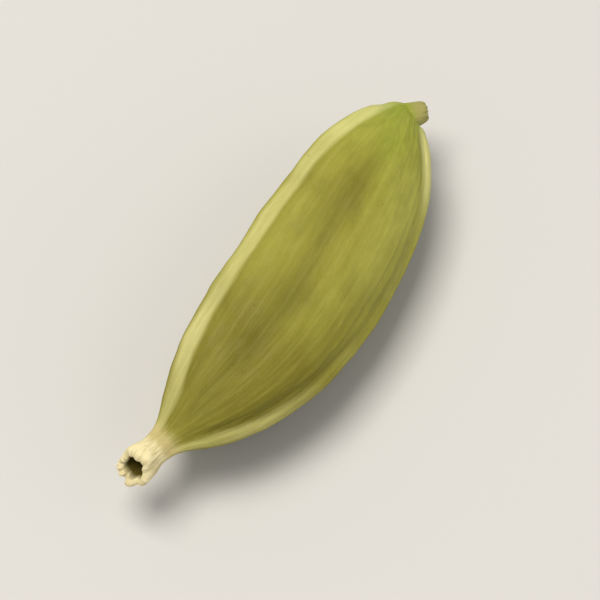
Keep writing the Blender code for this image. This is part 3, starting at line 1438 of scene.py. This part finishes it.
    def spot(self, ring: Ring, face: int, share: float) -> Spot:
        """Finds the place of a point of the husk for the noise that shapes it.

        Args:
            ring: The ring that it is on.
            face: The face that it is on.
            share: Its share of the face's width.

        Returns:
            The place.
        """
        turn = (face + share) / 3 * math.tau
        span = self.form.span(face, ring.radius) / MM
        wide = max(self.least_width, min(1.0, ring.radius / self.full_width))
        nearer = share if share < 0.5 else share - 1
        spot = Spot(
            ring.station / MM,
            self.usual_radius * math.cos(turn),
            self.usual_radius * math.sin(turn),
            nearer * span / wide,
            (face if share < 0.5 else face + 1) % 3,
        )
        return replace(spot, to_keel=spot.to_keel + self.keel_wander * spot.cord_noise(0.6, 0.5))

    def skin(self, ring: Ring, face: int, share: float, veins: list[Vein]) -> Skin:
        """Works out the fine relief and the finish's masks at a point.

        Args:
            ring: The ring that it is on.
            face: The face that it is on.
            share: Its share of the face's width.
            veins: The face's veins.

        Returns:
            The relief and the masks.
        """
        spot = self.spot(ring, face, share)
        capsule = self.form.on_capsule(ring.station)
        if capsule == 0.0:
            return self.end_skin(ring, spot)
        scale = min(1.0, ring.radius / self.full_width)
        span, along = self.form.span(face, ring.radius) / MM / scale, ring.station / self.form.body_length
        cord = smooth((self.cord_width - abs(spot.to_keel)) / self.cord_edge)
        folds = [crease.strength(face, share, along, span) for crease in self.creases]
        sunk = sum(crease.depth * fold for crease, fold in zip(self.creases, folds, strict=True))
        raised, vein_mask = self.vein_relief(veins, share, span, spot)
        usual, more = self.wrinkle_shares
        wrinkle = (usual + more * self.near_end(along)) * (abs(self.wrinkles.at(spot)) - self.wrinkle_level)
        dents = noise.fractal(Vector((spot.along * 0.42, spot.side * 0.75, spot.out * 0.75)), 0.9, 2.0, 4)
        lift = cord * self.cord_relief(spot) + (1 - cord) * (raised - sunk)
        filled, lowered = self.filled_height
        fill = filled * hump(abs(spot.to_keel) - 0.60, 0.26) - lowered * cord
        lift += self.softened(spot, along) * fill
        lift += self.dent_height * dents + self.wrinkle_height * wrinkle * (1 - 0.7 * cord)
        lift += self.fine_relief(spot)
        lightness = sum(patch.amount(face, share, span, spot) for patch in self.patches)
        whole = self.end_skin(ring, spot)
        return Skin(
            lift=mixed(whole.lift, lift * scale * MM, capsule),
            slip=whole.slip * (1 - capsule),
            keel=self.cord_paleness(spot, along) * capsule,
            vein=vein_mask * (1 - cord) * capsule,
            hollow_shade=self.hollow_shade(spot, along, dents, wrinkle, max(folds)) * capsule,
            light=max(0.0, min(1.0, lightness)) * capsule,
            dark=max(0.0, min(1.0, -lightness)) * capsule,
        )

    def near_end(self, along: float) -> float:
        """Gives 1 at either end of the capsule, falling to 0 a quarter of the way along it."""
        return 1 - smooth(4 * min(along + 0.025, 1.0 - along))

    def fine_relief(self, spot: Spot) -> float:
        """Gives the puckers beside the keels and the finest fibre, in millimetres."""
        pucker = hump(abs(spot.to_keel) - self.furrow_at, 0.30) * self.puckers.at(spot)
        return pucker + sum(layer.at(spot) for layer in self.fibres)

    def softened(self, spot: Spot, along: float) -> float:
        """Gives where the furrow inside the near keel has filled out.

        Args:
            spot: The point's place.
            along: The point's share of the pod's length.

        Returns:
            1 inside the middle of the near keel, falling to 0 elsewhere.
        """
        if spot.keel != Keel.NEAR.value:
            return 0.0
        start, end = self.filled
        middle = smooth((along - start) / self.filled_run) * smooth((end - along) / self.filled_run)
        return middle * smooth(0.5 - spot.to_keel / 0.3)

    def hollow_shade(self, spot: Spot, along: float, dents: float, wrinkle: float, fold: float) -> float:
        """Gives the shade painted on a point for lying in a furrow, dent, wrinkle or crease.

        Args:
            spot: The point's place.
            along: The point's share of the pod's length.
            dents: The height of the dents there, from -1 to 1.
            wrinkle: The height of the wrinkles there.
            fold: The strength of the deepest crease there.

        Returns:
            The painted shade, from 0 to 1.
        """
        # Shade painted into the furrow beside each keel, into dent and wrinkle lows, and into creases
        beside = 0.28 * hump(abs(spot.to_keel) - self.furrow_at, 0.20) * (1 - self.softened(spot, along))
        beside *= 1 - 0.7 * smooth((along - 0.76) / 0.14)
        low = 0.35 * max(0.0, -2.0 * dents) + 0.5 * max(0.0, -2.6 * wrinkle)
        return min(1.0, beside + low + 0.60 * fold**2)

    def cord_paleness(self, spot: Spot, along: float) -> float:
        """Gives how pale a keel makes a point.

        The cords are patchy. The far one is pale throughout and the near one mostly towards its ends,
        and both spread into a broad soft band beside the beak.

        Args:
            spot: The point's place.
            along: The point's share of the pod's length.

        Returns:
            The paleness, from 0 to 1.
        """
        tone, beak_end = self.tones[spot.keel], smooth((along - 0.76) / 0.20)
        distance = abs(spot.to_keel - mixed(*tone.inwards, beak_end)) + self.pale_ragged.at(spot)
        cover = smooth((mixed(*self.pale_reach, beak_end) - distance) / mixed(*self.pale_edge, beak_end))
        patchy = 0.24 * spot.cord_noise(0.35, 9.0) + 0.30 * (0.3 + beak_end) * spot.cord_noise(0.8, 14.0)
        return cover * max(0.0, min(1.0, tone.paleness(along) + patchy))

    def cord_relief(self, spot: Spot) -> float:
        """Gives how far a keel's cord stands out beyond the solid's keel, in millimetres."""
        grooves = hump(abs(spot.to_keel) - 0.13, 0.045) * (0.6 + 0.5 * spot.cord_noise(0.5, 6.0))
        beads = spot.cord_noise(1.25, 2.5) + 0.4 * spot.cord_noise(3.1, 4.5)
        return self.cord_height + self.cord_beads * (beads - grooves)

    def end_skin(self, ring: Ring, spot: Spot) -> Skin:
        """Gives the relief of the neck, collar and beak: fine flutes, and a torn rim and tip.

        Args:
            ring: The point's ring.
            spot: The point's place.

        Returns:
            The relief, with no masks.
        """
        flutes = sum(layer.at(spot) for layer in self.flutes)
        at_stalk = ring.zone in (Zone.PIT, Zone.COLLAR)
        rim = hump(ring.station - self.form.mouth, self.torn_reach[0]) if at_stalk else 0.0
        end = hump(ring.station - self.form.tip, self.torn_reach[1]) if ring.zone is Zone.BEAK else 0.0
        teeth = noise.noise(Vector((spot.side * 0.75, spot.out * 0.75, 4.0)))
        teeth += 0.55 * noise.noise(Vector((spot.side * 2.1, spot.out * 2.1, 8.0)))
        slip = (self.torn[1] * end - self.torn[0] * rim) * teeth
        return Skin(lift=flutes * min(1.0, ring.radius / (0.5 * MM)) * MM, slip=slip * MM)

    def vein_relief(
        self, veins: list[Vein], share: float, span: float, spot: Spot
    ) -> tuple[float, float]:
        """Gives the height of the veins near a point, and their mask.

        Args:
            veins: The face's veins.
            share: The point's share of the face's width.
            span: The face's width, in millimetres.
            spot: The point's place.

        Returns:
            The height in millimetres, and the mask from 0 to 1.
        """
        height, mask = 0.0, 0.0
        for vein in veins:
            if abs(share - vein.at) * span > 5 * vein.half_width:
                continue
            wander = 0.06 * noise.noise(Vector((spot.along / 2.6, vein.seed, 1.0)))
            strength = 0.65 + 0.7 * noise.noise(Vector((spot.along / 3.4, vein.seed, 7.0)))
            line = hump((share - vein.at) * span + wander, vein.half_width)
            height += vein.height * strength * line
            mask = max(mask, line * max(0.0, min(1.0, strength)))
        return height, mask

    def build(self) -> bpy.types.Object:
        """Builds the husk from a UV sphere whose rings are laid along the pod.

        Returns:
            The husk, with the attributes that its finish reads.
        """
        rings, veins = self.rings(), self.veins()
        last, columns = len(rings) - 1, 3 * self.per_face
        bm = bmesh.new()
        bmesh.ops.create_uvsphere(bm, u_segments=columns, v_segments=last, radius=1.0)
        masks = {name: bm.verts.layers.float.new(name) for name in MASKS}
        grain = bm.verts.layers.float_vector.new("grain")
        for vert in bm.verts:
            ring = rings[round(math.acos(max(-1.0, min(1.0, -vert.co.z))) / math.pi * last)]
            column = round(math.atan2(vert.co.y, vert.co.x) / math.tau * columns) % columns
            face, step = divmod(column, self.per_face)
            share = step / self.per_face
            share -= self.crowding * math.sin(math.tau * share) / math.tau
            skin = self.skin(ring, face, share, veins[face])
            spot = self.spot(ring, face, share)
            vert.co = self.form.point(ring, face, share, skin)
            vert.co.z = max(0.0, vert.co.z)
            vert[grain] = Vector((spot.along, spot.side, spot.out))
            for name, value in self.finish_masks(ring, skin).items():
                vert[masks[name]] = value
        bm.normal_update()
        bmesh.ops.recalc_face_normals(bm, faces=bm.faces)
        return new_piece("husk", bm)

    def finish_masks(self, ring: Ring, skin: Skin) -> dict[str, float]:
        """Gives the values that the husk's finish reads at a point.

        Args:
            ring: The point's ring.
            skin: Its fine relief and masks.

        Returns:
            The values, by their attributes' names.
        """
        form = self.form
        # Shade painted into the pit, darker further in from its mouth
        into_pit = ring.station - form.mouth - 0.03 * MM
        deep = smooth(into_pit / (0.18 * MM)) if ring.zone is Zone.PIT else 0.0
        return {
            "along": ring.station / form.body_length,
            "keel": skin.keel,
            "vein": skin.vein,
            # Painted shade of furrows, dents, wrinkles and creases
            "hollow_shade": skin.hollow_shade,
            "light": skin.light,
            "dark": skin.dark,
            "stalk": 1 - smooth((ring.station + 0.75 * MM) / (2.0 * MM)),
            "flower": smooth((ring.station - form.body_length + 0.35 * MM) / (0.9 * MM)),
            "pit": deep,
        }


@dataclass(frozen=True)
class Strand:
    """One torn fibre or scrap: a bent, tapering spindle, in the pod's own directions.

    Its vectors run along the pod, towards the near side and out of the upper face.

    Attributes:
        root: Where it starts.
        way: Which way it leaves, as a unit vector.
        droop: Which way it bends, and by how much at its tip.
        length: Its length.
        radius: Its radius at the root.
        flat: How far it is flattened, from 0 to 1.
    """

    root: Vector
    way: Vector
    droop: Vector
    length: float
    radius: float
    flat: float = 0.0

    def add_to(self, bm: bmesh.types.BMesh, form: PodForm) -> None:
        """Adds the strand to a bmesh, from a narrow UV sphere.

        Args:
            bm: The bmesh.
            form: The pod's form, which turns its own directions into the resting pose.
        """
        made = bmesh.ops.create_uvsphere(bm, u_segments=8, v_segments=14, radius=1.0)
        out = Vector((0.0, self.root.y, self.root.z)).normalized()
        side = self.way.cross(out).normalized()
        thin = self.way.cross(side) * (1 - self.flat)
        for vert in made["verts"]:
            share = math.acos(max(-1.0, min(1.0, -vert.co.z))) / math.pi
            taper = self.radius * (1.0 - share) ** 0.7
            ring = math.sin(min(1.0, share * 6.0) * math.pi / 2) if share < 1.0 else 0.0
            across = Vector((vert.co.x, vert.co.y, 0.0))
            if across.length > 1e-6:
                across.normalize()
            centre = self.root + self.way * (self.length * share) + self.droop * share**2
            local = centre + (side * across.x + thin * across.y) * taper * ring
            vert.co = form.place(local.x, local.y, local.z)


@dataclass(frozen=True)
class StalkScar:
    """What is left of the stalk: pith in the pit, dark partly in its own colour and partly with painted
    shade, and fibres torn at the collar's rim.

    Attributes:
        form: The pod's form.
        fibres: How many fibres there are.
        lengths: Their least and most length, in millimetres.
        radii: Their least and most radius, in millimetres.
        flat: How far they are flattened.
        sunk: How far their roots are sunk in the rim, in metres.
        seed: What they are drawn from.
    """

    form: PodForm
    fibres: int = 9
    lengths: tuple[float, float] = (0.12, 0.24)
    radii: tuple[float, float] = (0.022, 0.045)
    flat: float = 0.3
    sunk: float = 0.10 * MM
    seed: int = 5

    def build_pith(self) -> bpy.types.Object:
        """Builds the crumbled pith at the bottom of the pit.

        Returns:
            The pith.
        """
        station = self.form.mouth + self.form.pit_depth * 0.92
        reach = self.form.pit_radius * 0.82
        bm = bmesh.new()
        bmesh.ops.create_icosphere(bm, subdivisions=5, radius=1.0)
        for vert in bm.verts:
            local = vert.co * (1 + 0.25 * noise.fractal(vert.co * 2.6, 0.8, 2.0, 4))
            vert.co = self.form.place(station + local.x * 0.14 * MM, local.y * reach, local.z * reach)
        bmesh.ops.recalc_face_normals(bm, faces=bm.faces)
        return new_piece("stalk_pith", bm)

    def build_fibres(self) -> bpy.types.Object:
        """Builds the torn fibres round the collar's rim.

        Returns:
            The fibres, as one piece.
        """
        draw = random.Random(self.seed)
        bm = bmesh.new()
        for index in range(self.fibres):
            turn = math.tau * (index + draw.uniform(-0.35, 0.35)) / self.fibres
            out = Vector((0.0, math.sin(turn), math.cos(turn)))
            reach = mixed(self.form.pit_radius, self.form.collar_radius, draw.uniform(0.25, 0.8))
            root = out * reach + Vector((self.form.mouth + self.sunk, 0.0, 0.0))
            way = (Vector((-1.0, 0.0, 0.0)) + out * draw.uniform(-0.35, 0.45)).normalized()
            droop = out * draw.uniform(-0.08, 0.12) * MM
            length = draw.uniform(*self.lengths) * MM
            radius = draw.uniform(*self.radii) * MM
            Strand(root, way, droop, length, radius, self.flat).add_to(bm, self.form)
        bmesh.ops.recalc_face_normals(bm, faces=bm.faces)
        return new_piece("stalk_fibres", bm)


@dataclass(frozen=True)
class FlowerScar:
    """What is left of the flower: papery scraps round the beak's tip.

    Attributes:
        form: The pod's form.
        scraps: How many scraps there are.
        lengths: Their least and most length, in millimetres.
        radii: Their least and most radius, in millimetres.
        flat: How far they are flattened.
        sunk: How far their roots are sunk in the beak, in metres.
        seed: What they are drawn from.
    """

    form: PodForm
    scraps: int = 7
    lengths: tuple[float, float] = (0.20, 0.30)
    radii: tuple[float, float] = (0.07, 0.12)
    flat: float = 0.65
    sunk: float = 0.14 * MM
    seed: int = 3

    def build(self) -> bpy.types.Object:
        """Builds the scraps.

        Returns:
            The scraps, as one piece.
        """
        draw = random.Random(self.seed)
        bm = bmesh.new()
        for index in range(self.scraps):
            turn = math.tau * (index + draw.uniform(-0.3, 0.3)) / self.scraps
            out = Vector((0.0, math.sin(turn), math.cos(turn)))
            root = out * self.form.beak_tip_radius * draw.uniform(0.5, 0.85)
            root.x = self.form.tip - self.sunk
            way = (Vector((1.0, 0.0, 0.0)) + out * draw.uniform(-0.5, 0.1)).normalized()
            droop = out * draw.uniform(-0.14, -0.02) * MM
            length = draw.uniform(*self.lengths) * MM
            radius = draw.uniform(*self.radii) * MM
            Strand(root, way, droop, length, radius, self.flat).add_to(bm, self.form)
        bmesh.ops.recalc_face_normals(bm, faces=bm.faces)
        return new_piece("flower_scraps", bm)


@dataclass(frozen=True)
class Studio:
    """A plain pale floor, soft light and a long-lens camera at the photograph's angle."""

    azimuth: float = math.radians(-57.0)
    elevation: float = math.radians(64.0)
    lens: float = 200.0
    sensor: float = 36.0
    frame_width: float = 26.5 * MM
    clip: tuple[float, float] = (0.005, 10.0)
    floor_size: float = 3.0
    floor_colour: Colour = srgb(196, 193, 187)
    floor_clouds: float = 1.04
    floor_roughness: float = 0.75
    room_colour: Colour = (0.96, 0.97, 1.0, 1.0)
    room_strength: float = 0.42

    def toward_camera(self) -> Vector:
        """Gives the direction from the pod to the camera."""
        level = math.cos(self.elevation)
        return Vector(
            (math.sin(self.azimuth) * level, -math.cos(self.azimuth) * level, math.sin(self.elevation))
        )

    def build_floor(self) -> None:
        """Lays the floor under the pod."""
        bm = bmesh.new()
        bmesh.ops.create_grid(bm, x_segments=1, y_segments=1, size=self.floor_size / 2)
        floor = new_piece("floor", bm)
        material = bpy.data.materials.new("pale_floor")
        material.use_nodes = True
        bench = NodeBench(material.node_tree)
        shader = material.node_tree.nodes["Principled BSDF"]
        where = bench.add("ShaderNodeTexCoord").outputs["Object"]
        cloud = bench.span(bench.noise(where, 9.0, 3.0), 0.3, 0.7)
        paler = tuple(min(1.0, value * self.floor_clouds) for value in self.floor_colour[:3]) + (1.0,)
        bench.feed(shader.inputs["Base Color"], bench.mix(cloud, self.floor_colour, paler))
        shader.inputs["Roughness"].default_value = self.floor_roughness
        floor.data.materials.append(material)

    def add_light(
        self, name: str, way: Vector, distance: float, size: float, power: float, colour: Sequence[float]
    ) -> None:
        """Adds a soft square light.

        Args:
            name: Its name.
            way: The direction from the pod to it.
            distance: How far away it is.
            size: Its side.
            power: Its power, in watts.
            colour: Its colour.
        """
        data = bpy.data.lights.new(name, "AREA")
        data.size = size
        data.energy = power
        data.color = colour
        light = bpy.data.objects.new(name, data)
        light.location = way.normalized() * distance
        light.rotation_euler = (-way).to_track_quat("-Z", "Y").to_euler()
        bpy.context.scene.collection.objects.link(light)

    def light(self) -> None:
        """Lights the pod from high above the picture's upper edge, with soft fill from the near side."""
        self.add_light("key_light", Vector((-0.04, 0.26, 1.0)), 0.30, 0.16, 0.90, (1.0, 0.975, 0.93))
        self.add_light("fill_light", Vector((0.4, -1.0, 0.8)), 0.35, 0.30, 0.20, (0.95, 0.97, 1.0))
        world = bpy.data.worlds.new("soft_room")
        world.use_nodes = True
        background = world.node_tree.nodes["Background"]
        background.inputs["Color"].default_value = self.room_colour
        background.inputs["Strength"].default_value = self.room_strength
        bpy.context.scene.world = world
        bpy.context.scene.view_settings.view_transform = "Standard"

    def place_camera(self, low: Vector, high: Vector) -> None:
        """Aims the camera at the middle of the pod.

        Args:
            low: The pod's lowest corner.
            high: The pod's highest corner.
        """
        data = bpy.data.cameras.new("camera")
        data.lens = self.lens
        data.sensor_width = self.sensor
        data.clip_start, data.clip_end = self.clip
        camera = bpy.data.objects.new("camera", data)
        toward = self.toward_camera()
        camera.location = (low + high) / 2 + toward * (self.frame_width * self.lens / self.sensor)
        camera.rotation_euler = (-toward).to_track_quat("-Z", "Y").to_euler()
        bpy.context.scene.collection.objects.link(camera)
        bpy.context.scene.camera = camera


def settle(piece: bpy.types.Object) -> None:
    """Makes a piece part of the pod, in place of its solid."""
    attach(piece, "root")
    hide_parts(NODE)
    LOG.info("%s: %d vertices", piece.name, len(piece.data.vertices))


def main() -> None:
    """Builds the pod, its finishes and the studio, in order."""
    logging.basicConfig(level=logging.INFO, format="%(name)s: %(message)s")
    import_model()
    low, high = (Vector(corner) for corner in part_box(NODE))
    form, effects = PodForm().set_down(low, high), PlantEffects()
    stalk = ScrapFinish("torn_stalk_fibre", srgb(226, 208, 156), srgb(244, 232, 192), srgb(176, 150, 96))
    # The pith's dark colour is partly its own and partly painted shade at the bottom of the pit
    pith = ScrapFinish("dark_pith_and_painted_shade", srgb(86, 72, 6), srgb(104, 88, 14), srgb(56, 46, 4), 0.85)
    paper = ScrapFinish("dry_flower_paper", srgb(176, 162, 106), srgb(196, 182, 128), srgb(126, 106, 60))
    husk = Husk(form).build()
    HuskFinish().dress(husk, effects)
    settle(husk)
    scar = StalkScar(form)
    scraps = ((scar.build_pith(), pith), (scar.build_fibres(), stalk), (FlowerScar(form).build(), paper))
    for piece, finish in scraps:
        finish.dress(piece, effects)
        settle(piece)
    studio = Studio()
    studio.build_floor()
    studio.light()
    studio.place_camera(low, high)


if __name__ == "__main__":
    main()
